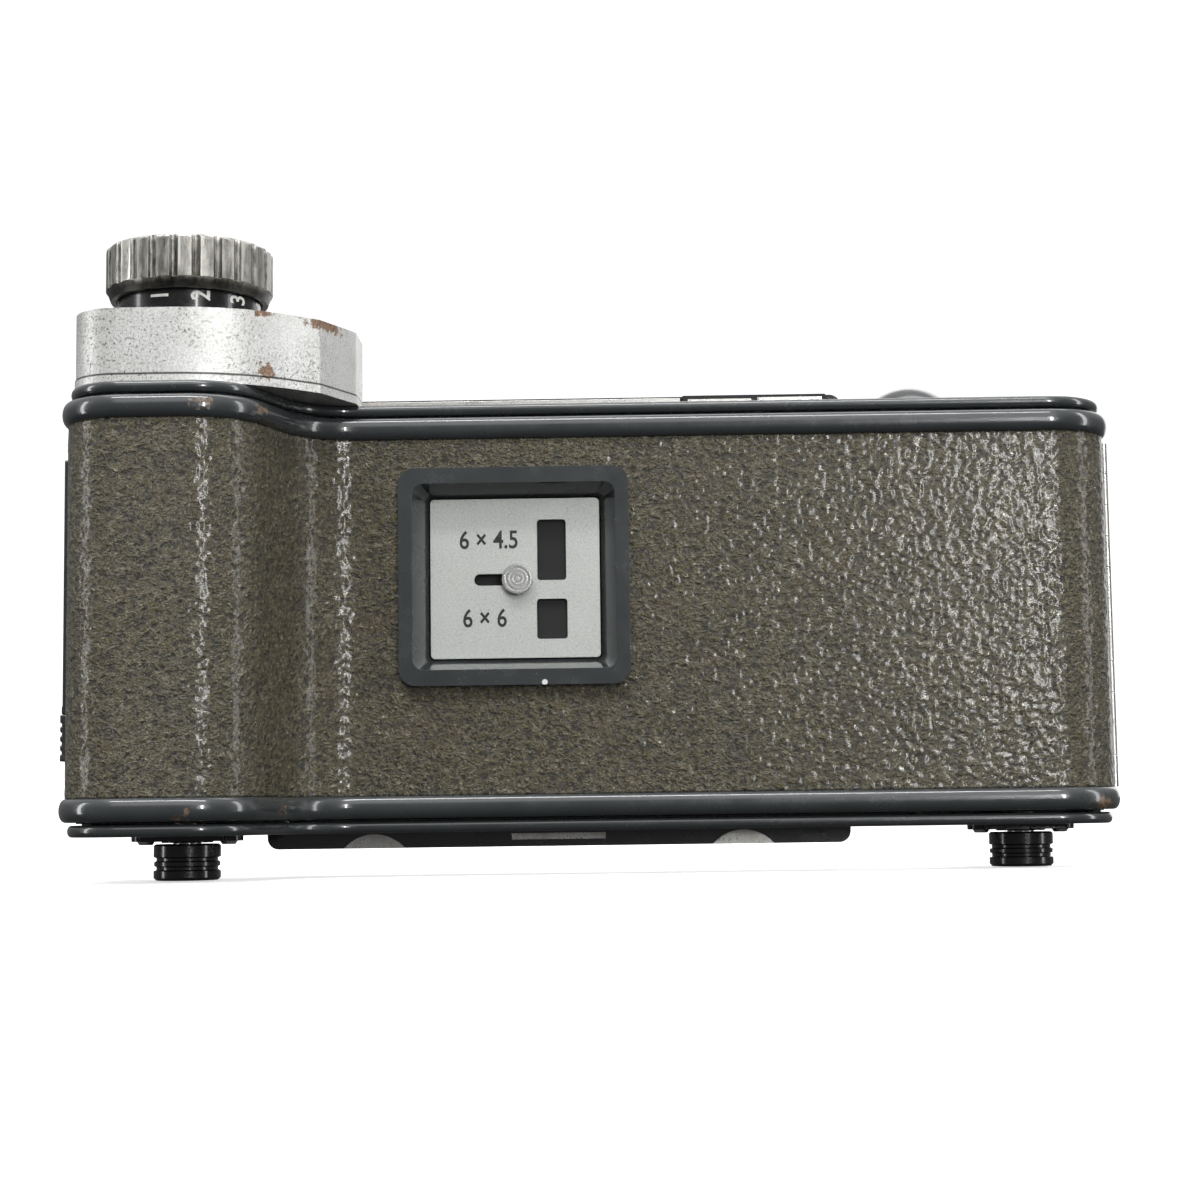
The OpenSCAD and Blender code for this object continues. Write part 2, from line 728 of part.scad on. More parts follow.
module latch_slide() color("#5b6064") {
    box([slide_x, -26.1, slide_low], [guide_x + 1.2, -14.7, slide_high]);
    for (z = peg_z) box([guide_x + 1, peg_y[0], z - 1.5], [case_left_x + wall_t + 2.4, peg_y[1], z + 1.5]);
}

module latch_thumb() color("#2c3135") difference() {
    box([thumb_x, -26.1, thumb_low], [guide_x + 1.2, -14.7, slide_low]);
    for (k = [0:3])
        box([thumb_x - 1, -27, thumb_low + 1.2 + 1.7 * k], [thumb_x + 0.3, -14, thumb_low + 1.9 + 1.7 * k]);
}

module latch_index() color("#9c3a22")
    box([slide_x - 0.12, -26.1, slide_low + 0.1], [slide_x, -14.7, slide_low + 1.5]);

// ---- The wind ----

module wind_knob() color("#9b9c9a") difference() {
    r = knob_d / 2;
    hub_r = 4.5;
    well_r = dial_d / 2 + 0.3;
    translate([take_up[0], take_up[1], 0]) rotate_extrude() polygon([
        [shaft_r, knob_bottom - 1.3], [hub_r, knob_bottom - 1.3], [hub_r, ribs_bottom],
        [well_r, ribs_bottom], [well_r, knob_bottom], [r - 0.9, knob_bottom],
        [r - 0.35, ribs_bottom], [r, ribs_bottom + 0.4], [r, knob_top - 0.5], [r - 0.5, knob_top],
        [12, knob_top], [12, knob_top - 0.8], [shaft_r, knob_top - 0.8]
    ]);
    for (k = [0:knob_ribs - 1]) rotate_about(take_up, 360 * k / knob_ribs)
        rod(take_up + [r + 0.25, 0], 0.85, ribs_bottom + 0.3, knob_top + 1);
}

module rotate_about(c, a) {
    translate([c[0], c[1], 0]) rotate(a) translate([-c[0], -c[1], 0]) children();
}

module knob_cap() color("#8a8b89") difference() {
    rod(take_up, 11.95, knob_top - 0.8, knob_top - 0.1);
    rod(take_up, 3.3, 60, 70);
    for (k = [0:5]) rotate_about(take_up, 60 * k) rod(take_up + [8, 0], 0.8, knob_top - 0.4, knob_top + 1);
}

module knob_screw() color("silver") difference() {
    union() {
        rod(take_up, 3.2, knob_top - 0.8, knob_top);
        rod(take_up, 1.2, knob_top - 7, knob_top - 0.8);
    }
    box([take_up[0] - 4, take_up[1] - 0.4, knob_top - 0.5], [take_up[0] + 4, take_up[1] + 0.4, knob_top + 1]);
}

module wind_shaft() color("silver") difference() {
    rod(take_up, shaft_r, 34.6, knob_top - 0.8);
    rod(take_up, 1.2, knob_top - 7, 70);
}

module drive_key() color("silver") {
    rod(take_up, 4.4, spool_len / 2 + 0.3, 34.6);
    box([take_up[0] - 4.3, take_up[1] - 0.65, 30.6],
        [take_up[0] + 4.3, take_up[1] + 0.65, spool_len / 2 + 0.4]);
}

module take_up_spool() color("#16181a") difference() {
    half = spool_len / 2;
    flange = 1.3;
    union() {
        rod(take_up, spool_core_r, -half, half);
        for (z = [-half, half - flange]) rod(take_up, spool_d / 2, z, z + flange);
    }
    rod(take_up, spool_bore_r, -40, 40);
    for (z = [-half - 1, half - 2.8])
        box([take_up[0] - 4.6, take_up[1] - 0.75, z], [take_up[0] + 4.6, take_up[1] + 0.75, z + 3.8]);
    box([take_up[0] - 8, take_up[1] - 0.6, -26], [take_up[0] + 8, take_up[1] + 0.6, 26]);
}

// ---- The counter ----

module counter_dial() color("#0f0f10") difference() {
    union() {
        rod(take_up, dial_d / 2, dial_bottom, dial_top);
        rod(take_up, dial_hub_r, gear_z[2], dial_bottom);
    }
    rod(take_up, 9.2, 55.8, 60);
    rod(take_up, bush_r + run, 40, 60);
}

// The way from one point to another, in degrees
function way(a, b) = atan2(b[1] - a[1], b[0] - a[0]);

// A gap, not a tooth, faces the gear that drives this one
function facing_gap(c, driver, teeth) = way(c, driver) + 180 / teeth;

module dial_gear() color("#b08d4a") difference() {
    gear(take_up, dial_teeth, facing_gap(take_up, second_idler_at, dial_teeth), gear_z[2]);
    rod(take_up, dial_hub_r, 40, 50);
}

// A wheel with its pinion above it, driven by the gear at driver and driving the one at driven
module compound(c, driver, driven, teeth, level) difference() {
    union() {
        gear(c, wheel_teeth, facing_gap(c, driver, wheel_teeth), gear_z[level]);
        rod(c, 1.45, gear_z[level] + eps, gear_z[level + 1] + gear_t - eps);
        gear(c, teeth, way(c, driven), gear_z[level + 1]);
    }
    rod(c, post_r + run, 40, 50);
}

module first_idler() color("#b08d4a")
    compound(first_idler_at, meter, second_idler_at, small_teeth, 0);

module second_idler() color("#b08d4a")
    compound(second_idler_at, first_idler_at, take_up, pinion_teeth, 1);

module metering_roller() color("#7d8185") {
    rod(meter, roller_r, -32.5, 32.5);
    rod(meter, post_r, -38.8, gear_z[0] + gear_t + 0.2);
}

module metering_gear() color("#b08d4a") difference() {
    gear(meter, small_teeth, way(meter, first_idler_at), gear_z[0]);
    rod(meter, post_r, 40, 50);
}

module supply_roller() color("#7d8185") {
    rod(guide_roller, guide_r, -32.5, 32.5);
    rod(guide_roller, post_r, -38.8, 41.8);
}

// ---- The spool studs ----

module stud_pin(c) {
    rod(c, stud_pin_r, -45.5, stud_tip_z - 0.8);
    translate([c[0], c[1], stud_tip_z - 0.8]) cylinder(r1 = stud_pin_r, r2 = 1.8, h = 0.8);
    rod(c, 4, stud_collar_z, stud_collar_z + 0.9);
}

module stud_knob(c) {
    r = stud_knob_d / 2;
    top = stud_knob_top;
    bottom = stud_knob_bottom;
    difference() {
        translate([c[0], c[1], 0]) rotate_extrude() polygon([
            [0, top], [r - 0.4, top], [r, top - 0.3], [r, top - 2.3],
            [r - 0.5, top - 2.5], [r - 0.5, top - 3],
            [r - 0.1, top - 3.2], [r - 0.1, top - 3.9], [r - 0.5, top - 4.1], [r - 0.5, top - 4.6],
            [r, top - 4.8], [r, bottom + 0.5], [r - 0.5, bottom], [0, bottom]
        ]);
        rod(c, stud_pin_r, -45.5, -40);
    }
}

module take_up_stud_pin() color("silver") stud_pin(take_up);
module supply_stud_pin() color("silver") stud_pin(supply);
module take_up_stud_knob() color("#121214") stud_knob(take_up);
module supply_stud_knob() color("#121214") stud_knob(supply);

body_casting();
camera_flange();
flange_screws();
flange_pads();
flange_top_strip();
flange_catch();
flange_lock_bar();
gate_frame();
winding_housing();
housing_base_plate();
housing_screws();
wind_bush();
idler_posts();
clutch_spring();
roller_cap();
supply_brake_spring();
supply_pivot();
take_up_stud_bush();
supply_stud_bush();
stud_plate_screws();
take_up_stud_spring();
supply_stud_spring();
latch_guide();
latch_index();
hinge_leaf_body();
hinge_pin();
hinge_screws();
back_cover();
rim_mouldings();
back_leatherette();
window_frame();
window_plate();
number_filter();
filter_retainer();
hinge_leaf_cover();
latch_hooks();
cover_light_seal();
pressure_springs();
pressure_plate();
shutter_blade();
shutter_knob();
latch_slide();
latch_thumb();
wind_knob();
knob_cap();
knob_screw();
wind_shaft();
drive_key();
take_up_spool();
counter_dial();
dial_gear();
metering_roller();
metering_gear();
first_idler();
second_idler();
supply_roller();
take_up_stud_pin();
take_up_stud_knob();
supply_stud_pin();
supply_stud_knob();
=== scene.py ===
"""A knob-wind roll-film holder: camera, light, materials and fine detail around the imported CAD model."""
import functools
import json
import math

import bpy
import numpy as np
from mathutils import Matrix, Vector


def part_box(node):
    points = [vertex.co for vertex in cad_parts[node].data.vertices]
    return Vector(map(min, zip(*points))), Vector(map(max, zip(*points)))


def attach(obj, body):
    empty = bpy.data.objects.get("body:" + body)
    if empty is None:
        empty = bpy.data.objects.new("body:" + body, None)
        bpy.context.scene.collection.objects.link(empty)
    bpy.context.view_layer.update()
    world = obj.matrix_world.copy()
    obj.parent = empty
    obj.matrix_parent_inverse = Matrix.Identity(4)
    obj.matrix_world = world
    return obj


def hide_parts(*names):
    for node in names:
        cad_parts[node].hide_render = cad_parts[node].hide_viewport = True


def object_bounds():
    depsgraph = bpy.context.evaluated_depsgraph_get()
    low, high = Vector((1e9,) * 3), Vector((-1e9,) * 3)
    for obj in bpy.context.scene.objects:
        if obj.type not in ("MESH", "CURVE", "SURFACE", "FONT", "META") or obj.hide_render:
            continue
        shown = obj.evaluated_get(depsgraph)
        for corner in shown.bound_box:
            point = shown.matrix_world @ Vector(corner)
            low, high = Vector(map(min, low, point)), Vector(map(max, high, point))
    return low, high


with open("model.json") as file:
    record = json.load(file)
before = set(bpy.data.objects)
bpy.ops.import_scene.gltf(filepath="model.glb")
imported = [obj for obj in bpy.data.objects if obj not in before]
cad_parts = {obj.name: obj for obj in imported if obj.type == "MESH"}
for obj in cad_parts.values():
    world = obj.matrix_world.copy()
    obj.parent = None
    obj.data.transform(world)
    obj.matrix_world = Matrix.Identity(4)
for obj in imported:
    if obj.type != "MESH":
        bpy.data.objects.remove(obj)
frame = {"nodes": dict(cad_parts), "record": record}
CAD_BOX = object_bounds()
NODES = frame["nodes"]
MM = 0.001
FLOOR_GAP = 0.2 * MM


# ---- Camera, floor and light ----

def set_camera():
    """The photograph's viewpoint: behind the holder, a little low, looking slightly up."""
    position = Vector((12.301, -427.423, -36.968)) * MM
    yaw, pitch, roll = -0.0090896, 0.0971025, -0.0134617
    forward = Vector((math.sin(yaw) * math.cos(pitch), math.cos(yaw) * math.cos(pitch), math.sin(pitch)))
    level = Vector((math.cos(yaw), -math.sin(yaw), 0))
    upright = level.cross(forward)
    right = level * math.cos(roll) + upright * math.sin(roll)
    up = upright * math.cos(roll) - level * math.sin(roll)
    data = bpy.data.cameras.new("camera")
    data.lens = 66.11
    data.sensor_width = 36
    data.clip_start = 0.005
    camera = bpy.data.objects.new("camera", data)
    axes = Matrix((right, up, -forward)).transposed()
    camera.matrix_world = Matrix.Translation(position) @ axes.to_4x4()
    bpy.context.scene.collection.objects.link(camera)
    bpy.context.scene.camera = camera


def add_mesh(name, points, faces, smooth=True):
    mesh = bpy.data.meshes.new(name)
    mesh.from_pydata([tuple(p) for p in points], [], [tuple(int(i) for i in f) for f in faces])
    mesh.validate()
    mesh.update()
    mesh.polygons.foreach_set("use_smooth", [smooth] * len(mesh.polygons))
    piece = bpy.data.objects.new(name, mesh)
    bpy.context.scene.collection.objects.link(piece)
    return piece


def studio_bowl(floor_z):
    """A round floor that curves up into a wall all the way round."""
    floor_r, bend_r, wall_h, around = 1.3, 0.5, 0.9, 96
    profile = [(0.0, 0.0), (floor_r / 2, 0.0), (floor_r, 0.0)]
    profile += [(floor_r + bend_r * math.sin(a), bend_r * (1 - math.cos(a)))
                for a in np.linspace(0.1, math.pi / 2, 12)]
    profile += [(floor_r + bend_r, bend_r + wall_h)]
    points = [(0, 0, floor_z)]
    points += [(r * math.cos(t), r * math.sin(t), floor_z + z)
               for r, z in profile[1:] for t in np.linspace(0, 2 * math.pi, around, endpoint=False)]
    faces = [(0, 1 + k, 1 + (k + 1) % around) for k in range(around)]
    for ring in range(len(profile) - 2):
        a, b = 1 + ring * around, 1 + (ring + 1) * around
        faces += [(a + k, b + k, b + (k + 1) % around, a + (k + 1) % around) for k in range(around)]
    bowl = add_mesh("studio_bowl", points, faces)
    bowl.visible_glossy = False
    bowl.visible_diffuse = False
    return bowl


def area_light(name, place, target, size, watts):
    data = bpy.data.lights.new(name, "AREA")
    data.shape = "RECTANGLE"
    data.size, data.size_y = size
    data.energy = watts
    light = bpy.data.objects.new(name, data)
    light.location = place
    light.rotation_euler = (Vector(target) - Vector(place)).to_track_quat("-Z", "Y").to_euler()
    bpy.context.scene.collection.objects.link(light)


def set_light():
    middle = (0.01, -0.02, 0.0)
    area_light("key", (-0.1, -0.6, 1.0), middle, (0.9, 0.14), 8.0)
    area_light("left_strip", (-0.95, -0.2, 0.15), middle, (0.12, 0.8), 2.6)
    area_light("right_strip", (0.85, -0.22, 0.2), middle, (0.12, 0.9), 2.4)
    area_light("glint_strip", (0.38, -1.15, 0.2), middle, (0.07, 0.4), 4.2)
    area_light("top", (0.0, 0.1, 1.0), middle, (1.1, 0.3), 3.0)
    area_light("behind_camera", (0.0, -1.5, 1.0), middle, (1.6, 0.7), 4.6)
    area_light("front_fill", (0.3, 0.8, 0.35), middle, (0.8, 0.8), 2.5)


def set_world():
    """Surroundings that are dark below and white above, so that enamel and metal have something to mirror."""
    world = bpy.data.worlds.new("world")
    world.use_nodes = True
    tree = world.node_tree
    place = tree.nodes.new("ShaderNodeTexCoord")
    split = tree.nodes.new("ShaderNodeSeparateXYZ")
    ramp = tree.nodes.new("ShaderNodeValToRGB")
    height = tree.nodes.new("ShaderNodeMapRange")
    height.inputs["From Min"].default_value = -1
    tree.links.new(place.outputs["Generated"], split.inputs[0])
    tree.links.new(split.outputs["Z"], height.inputs["Value"])
    tree.links.new(height.outputs["Result"], ramp.inputs["Fac"])
    stops = ramp.color_ramp.elements
    stops[0].position, stops[0].color = 0.3, (0.07, 0.07, 0.07, 1)
    stops[1].position, stops[1].color = 0.85, (0.85, 0.85, 0.86, 1)
    for position, grey in ((0.47, 0.16), (0.6, 0.22)):
        stops.new(position).color = (grey, grey, grey, 1)
    background = tree.nodes["Background"]
    tree.links.new(ramp.outputs["Color"], background.inputs["Color"])
    background.inputs["Strength"].default_value = 1.0
    bpy.context.scene.world = world


# ---- Materials ----

class Shader:
    """One procedural material. Sizes are in millimetres, and textures use the part's own coordinates."""

    def __init__(self, name, **constants):
        self.mat = bpy.data.materials.new(name)
        self.mat.use_nodes = True
        self.tree = self.mat.node_tree
        self.bsdf = self.tree.nodes["Principled BSDF"]
        self.place = self.node("ShaderNodeTexCoord").outputs["Object"]
        for socket, value in constants.items():
            self.socket(socket).default_value = value

    def socket(self, name):
        return self.bsdf.inputs[name.replace("_", " ").title().replace("Ior", "IOR")]

    def node(self, kind, **inputs):
        node = self.tree.nodes.new(kind)
        for name, value in inputs.items():
            self.feed(node.inputs[name.replace("_", " ")], value)
        return node

    def feed(self, socket, value):
        if isinstance(value, bpy.types.NodeSocket):
            self.tree.links.new(value, socket)
        elif isinstance(value, tuple) and len(value) == 3 and socket.type == "RGBA":
            socket.default_value = (*value, 1)
        else:
            socket.default_value = value

    def stretched(self, stretch):
        node = self.node("ShaderNodeMapping", Vector=self.place, Scale=stretch)
        return node.outputs["Vector"]

    def noise(self, size, detail=3.0, rough=0.55, stretch=None, distort=0.0):
        where = self.stretched(stretch) if stretch else self.place
        node = self.node("ShaderNodeTexNoise", Vector=where, Scale=1000 / size, Detail=detail,
                         Roughness=rough, Distortion=distort)
        return node.outputs["Fac"]

    def span(self, value, low, high, to_low=0.0, to_high=1.0):
        node = self.tree.nodes.new("ShaderNodeMapRange")
        for socket, number in zip(("Value", "From Min", "From Max", "To Min", "To Max"),
                                  (value, low, high, to_low, to_high)):
            self.feed(node.inputs[socket], number)
        return node.outputs["Result"]

    def math(self, operation, a, b=0.0):
        node = self.tree.nodes.new("ShaderNodeMath")
        node.operation = operation
        self.feed(node.inputs[0], a)
        self.feed(node.inputs[1], b)
        return node.outputs[0]

    def vector(self, operation, a, b=(0, 0, 0), output="Vector"):
        node = self.tree.nodes.new("ShaderNodeVectorMath")
        node.operation = operation
        self.feed(node.inputs[0], a)
        self.feed(node.inputs[1], b)
        return node.outputs[output]

    def pointiness(self):
        return self.node("ShaderNodeNewGeometry").outputs["Pointiness"]

    def upright(self):
        """Height in the part's own coordinates, in metres."""
        return self.node("ShaderNodeSeparateXYZ", Vector=self.place).outputs["Z"]

    def mix(self, factor, a, b):
        node = self.tree.nodes.new("ShaderNodeMix")
        node.data_type = "RGBA"
        self.feed(node.inputs[0], factor)
        self.feed(node.inputs[6], a)
        self.feed(node.inputs[7], b)
        return node.outputs[2]

    def ridges(self, size, width, stretch=None):
        """Thin wandering lines, 1 along the crest, as a share of the size to either side."""
        level = self.noise(size, 2, 0.5, stretch=stretch, distort=0.6)
        away = self.math("ABSOLUTE", self.math("SUBTRACT", level, 0.5))
        return self.span(away, 0.0, width, 1.0, 0.0)

    def near(self, point, radius, squash=(1, 1, 1)):
        """1 at a point given in millimetres, falling to 0 at a radius, with the axes scaled by squash."""
        target = tuple(c * s * MM for c, s in zip(point, squash))
        away = self.vector("DISTANCE", self.stretched(squash), target, "Value")
        return self.span(away, 0.0, radius * MM, 1.0, 0.0)

    def patches(self, spots, ragged):
        """A mask of ragged patches around the spots, each a point, a radius and an axis scale."""
        total = 0.0
        for spot in spots:
            total = self.math("MAXIMUM", total, self.near(*spot))
        broken = self.math("ADD", total, self.span(self.noise(ragged, 5, 0.7), 0.3, 0.7, -0.45, 0.45))
        return self.span(broken, 0.5, 0.62)

    def worn_edges(self, low, high):
        """A broken mask along convex edges whose pointiness is over low, full from high on."""
        broken = self.span(self.noise(1.5, 5, 0.7), 0.4, 0.6)
        return self.math("MULTIPLY", self.span(self.pointiness(), low, high), broken)

    def bump(self, height, depth, strength=1.0):
        """Raises the surface by depth millimetres where height goes from 0 to 1."""
        node = self.node("ShaderNodeBump", Height=height, Distance=depth * MM, Strength=strength)
        before = self.bsdf.inputs["Normal"]
        if before.is_linked:
            self.tree.links.new(before.links[0].from_socket, node.inputs["Normal"])
        self.tree.links.new(node.outputs["Normal"], before)

    def set(self, **sockets):
        for name, value in sockets.items():
            self.feed(self.socket(name), value)


RUST = (0.16, 0.075, 0.03)
TARNISH = (0.05, 0.045, 0.035)


def enamel(name, base, spots=(), nick=None):
    """Stove enamel: a faint orange peel, dust in the sheen, small chips and brown wear."""
    s = Shader(name, coat_weight=0.6, coat_roughness=0.035, specular_ior_level=0.5)
    cloud = s.noise(14, 4, 0.6)
    colour = s.mix(s.span(cloud, 0.3, 0.7), tuple(c * 0.85 for c in base), tuple(c * 1.15 for c in base))
    dust = s.math("MULTIPLY", s.span(s.noise(0.4, 3, 0.8), 0.66, 0.76), 0.35)
    colour = s.mix(dust, colour, tuple(min(1, c * 3.2) for c in base))
    chips = s.span(s.noise(2.2, 6, 0.75), 0.735, 0.745)
    colour = s.mix(chips, colour, (0.16, 0.16, 0.155))
    worn = s.math("MULTIPLY", s.worn_edges(0.62, 0.72), 0.6)
    if spots:
        worn = s.math("MAXIMUM", worn, s.patches(spots, 1.6))
    brown = s.mix(s.span(s.noise(0.9), 0.4, 0.6), (0.1, 0.055, 0.03), (0.2, 0.15, 0.11))
    colour = s.mix(worn, colour, brown)
    if nick:
        colour = s.mix(s.span(s.near(*nick), 0.35, 0.5), colour, (0.8, 0.8, 0.78))
    s.set(base_color=colour, roughness=s.span(s.noise(5, 5, 0.7), 0.3, 0.75, 0.16, 0.34))
    s.bump(s.noise(1.3, 2, 0.4), 0.004)
    s.bump(s.math("SUBTRACT", 1.0, s.math("MAXIMUM", chips, worn)), 0.02)
    return s.mat


def bare_metal(name, base, rough, grain=(1, 1, 1), tarnish=0.5, brushed=0.3):
    """Machined or plated metal with fine lines, tarnish clouds and small pits."""
    s = Shader(name, metallic=1.0)
    lines = s.noise(brushed, 3, 0.6, stretch=grain)
    cloud = s.noise(6, 6, 0.65)
    dull, shiny = tuple(c * 0.88 for c in base), tuple(min(1, c * 1.08) for c in base)
    colour = s.mix(s.span(lines, 0.3, 0.7), dull, shiny)
    stain = s.math("MULTIPLY", s.span(cloud, 0.52, 0.75), tarnish)
    colour = s.mix(stain, colour, tuple(c * k for c, k in zip(base, (0.45, 0.4, 0.32))))
    pits = s.span(s.noise(0.8, 5, 0.8), 0.66, 0.7)
    colour = s.mix(s.math("MULTIPLY", pits, 0.7), colour, TARNISH)
    uneven = s.math("ADD", cloud, lines)
    s.set(base_color=colour, roughness=s.span(uneven, 0.7, 1.3, rough * 0.75, rough * 1.35))
    s.bump(lines, 0.006)
    s.bump(s.math("SUBTRACT", 1.0, pits), 0.02)
    return s.mat


def housing_finish(name):
    """Satin silver paint on a casting: dark speckle, brown corrosion at three places, a seam at its foot."""
    low, high = (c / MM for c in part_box("winding_housing"))
    s = Shader(name, metallic=0.6, specular_ior_level=0.5)
    sparkle = s.noise(0.35, 4, 0.75)
    base = s.mix(s.span(sparkle, 0.35, 0.65), (0.56, 0.565, 0.55), (0.84, 0.845, 0.83))
    cloud = s.noise(9, 5, 0.6)
    base = s.mix(s.math("MULTIPLY", s.span(cloud, 0.45, 0.7), 0.3), base, (0.45, 0.42, 0.36))
    specks = s.span(s.noise(0.5, 5, 0.85), 0.54, 0.61)
    where = s.span(s.noise(11, 3, 0.6), 0.4, 0.62, 0.25, 1.0)
    rim = s.near((low.x, low.y, high.z), 24)
    specks = s.math("MULTIPLY", specks, s.math("ADD", where, rim))
    colour = s.mix(s.span(specks, 0.0, 1.1), base, (0.06, 0.055, 0.045))
    stains = [((-51, -41, high.z - 0.2), 2.8, (0.9, 0.6, 1.7)),
              ((-41.5, -31, high.z - 0.6), 5.6, (0.7, 0.5, 2.0)),
              ((-50, -41, low.z + 1.2), 2.6, (0.9, 0.6, 0.8))]
    rust = s.patches(stains, 1.3)
    brown = s.mix(s.span(s.noise(0.7, 4, 0.7), 0.4, 0.62), RUST, (0.36, 0.2, 0.1))
    colour = s.mix(s.math("MULTIPLY", rust, 0.85), colour, brown)
    upright = s.upright()
    seam = s.math("MULTIPLY", s.span(upright, (low.z + 0.3) * MM, (low.z + 0.15) * MM),
                  s.span(upright, (low.z - 0.25) * MM, (low.z - 0.1) * MM))
    colour = s.mix(s.math("MULTIPLY", seam, 0.9), colour, (0.02, 0.02, 0.018))
    s.set(base_color=colour, roughness=s.span(s.math("ADD", sparkle, rust), 0.3, 1.3, 0.38, 0.8))
    s.bump(sparkle, 0.012)
    s.bump(s.math("SUBTRACT", 1.0, s.math("MAXIMUM", specks, rust)), 0.03)
    return s.mat


def knob_finish(name):
    """Dull worn plating, brighter where fingers rub, with painted shade in the hollows and painted shade and
    a painted dark reflection on the foot.
    """
    s = Shader(name, metallic=1.0)
    streaks = s.noise(1.1, 5, 0.7, stretch=(1, 1, 0.25))
    base = s.mix(s.span(streaks, 0.35, 0.68), (0.06, 0.057, 0.048), (0.4, 0.39, 0.35))
    grime = s.span(s.noise(0.7, 5, 0.8), 0.55, 0.68)
    base = s.mix(s.math("MULTIPLY", grime, 0.75), base, (0.075, 0.065, 0.05))
    low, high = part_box("wind_knob")
    upright = s.upright()
    top = s.span(upright, high.z - 1.2 * MM, high.z - 0.2 * MM)
    # Painted shade and a painted dark reflection of the dial: the bottom of the knob is darkened.
    foot_shade = s.span(upright, low.z + 3.2 * MM, low.z + 2.2 * MM)
    bright = s.math("MULTIPLY", top, s.span(s.noise(0.8, 5, 0.7), 0.38, 0.58))
    edge = s.pointiness()
    bright = s.math("MAXIMUM", bright, s.math("MULTIPLY", s.span(edge, 0.51, 0.55), 0.85))
    # Painted shade: the hollows between the flutes are darkened.
    base = s.mix(s.math("MULTIPLY", s.span(edge, 0.495, 0.455), 0.8), base, (0.04, 0.036, 0.03))
    base = s.mix(bright, base, (0.74, 0.73, 0.7))
    # Painted shade and painted dark reflection on the foot.
    base = s.mix(s.math("MULTIPLY", foot_shade, 0.85), base, (0.03, 0.03, 0.028))
    s.set(base_color=base, roughness=s.span(streaks, 0.3, 0.7, 0.28, 0.5))
    s.bump(s.noise(0.4, 4, 0.7), 0.015)
    s.bump(s.math("SUBTRACT", 1.0, grime), 0.02)
    return s.mat


def gloss_black(name, base=0.006):
    """Black lacquer on metal, with dust."""
    s = Shader(name, coat_weight=0.3, coat_roughness=0.06, specular_ior_level=0.35)
    dust = s.span(s.noise(0.45, 4, 0.8), 0.64, 0.74)
    colour = s.mix(s.math("MULTIPLY", dust, 0.35), (base, base, base * 1.1), (0.16, 0.15, 0.14))
    s.set(base_color=colour, roughness=s.span(s.noise(3, 5, 0.7), 0.3, 0.7, 0.14, 0.36))
    s.bump(s.noise(0.9, 2, 0.5), 0.006)
    return s.mat


def matt_black(name):
    """Flat black paint with a fine grain and grey rub marks."""
    s = Shader(name, specular_ior_level=0.35)
    grain = s.noise(0.25, 4, 0.8)
    rub = s.span(s.noise(4, 6, 0.75, stretch=(0.3, 1, 1)), 0.6, 0.72)
    colour = s.mix(s.span(grain, 0.3, 0.7), (0.006, 0.006, 0.006), (0.02, 0.02, 0.021))
    s.set(base_color=s.mix(s.math("MULTIPLY", rub, 0.4), colour, (0.07, 0.07, 0.07)),
          roughness=s.span(rub, 0, 1, 0.62, 0.42))
    s.bump(grain, 0.012)
    return s.mat


def leatherette_finish(name):
    """Taupe embossed cloth with a varnished face: pebbles with painted shade in their crevices and low spots,
    thin pale wrinkles that are partly painted highlight, and brown marks.
    """
    s = Shader(name, specular_ior_level=0.6, coat_weight=0.4, coat_roughness=0.16)
    grain = s.tree.nodes.new("ShaderNodeAttribute")
    grain.attribute_name = "grain"
    height = grain.outputs["Fac"]
    pebbles = s.span(s.noise(0.85, 3, 0.6, stretch=(0.75, 0.75, 1)), 0.4, 0.62)
    lines = s.math("MAXIMUM", s.ridges(1.5, 0.05, (0.5, 0.5, 1.0)), s.ridges(1.1, 0.05))
    lines = s.math("MULTIPLY", lines, s.span(s.noise(0.9, 2), 0.38, 0.52))
    tone = s.noise(18, 5, 0.6)
    base = s.mix(s.span(tone, 0.35, 0.65), (0.09, 0.077, 0.041), (0.106, 0.09, 0.044))
    # Painted shade: the low spots of the embossed grain are darkened.
    base = s.mix(s.math("MULTIPLY", s.span(height, 0.5, 0.2), 0.35), base, (0.05, 0.042, 0.023))
    # Painted shade: the crevices between the pebbles are darkened almost to black.
    base = s.mix(s.math("MULTIPLY", s.span(pebbles, 0.5, 0.0), 0.95), base, (0.008, 0.007, 0.004))
    # Thin pale wrinkles, partly painted highlight on the crests.
    base = s.mix(s.math("MULTIPLY", lines, 0.4), base, (0.4, 0.37, 0.27))
    brown = s.math("MULTIPLY", s.span(s.noise(9, 5, 0.7), 0.52, 0.68), 0.45)
    base = s.mix(brown, base, (0.095, 0.07, 0.048))
    s.set(base_color=base, roughness=s.span(pebbles, 0.0, 1.0, 0.5, 0.17))
    s.bump(pebbles, 0.34)
    s.bump(lines, 0.24)
    s.bump(s.noise(0.2, 3, 0.6), 0.02)
    return s.mat


def plate_finish(name):
    """Satin light aluminium with fine dark pitting."""
    s = Shader(name, metallic=0.55, specular_ior_level=0.5)
    grain = s.noise(0.28, 4, 0.8)
    base = s.mix(s.span(grain, 0.35, 0.65), (0.42, 0.435, 0.415), (0.62, 0.635, 0.61))
    clusters = s.span(s.noise(6, 3), 0.35, 0.6, 0.35, 1.0)
    pits = s.math("MULTIPLY", s.span(s.noise(0.5, 5, 0.85), 0.55, 0.64), clusters)
    base = s.mix(pits, base, (0.3, 0.29, 0.27))
    s.set(base_color=base, roughness=s.span(grain, 0.3, 0.7, 0.38, 0.55))
    s.bump(grain, 0.008)
    s.bump(s.math("SUBTRACT", 1.0, pits), 0.02)
    return s.mat


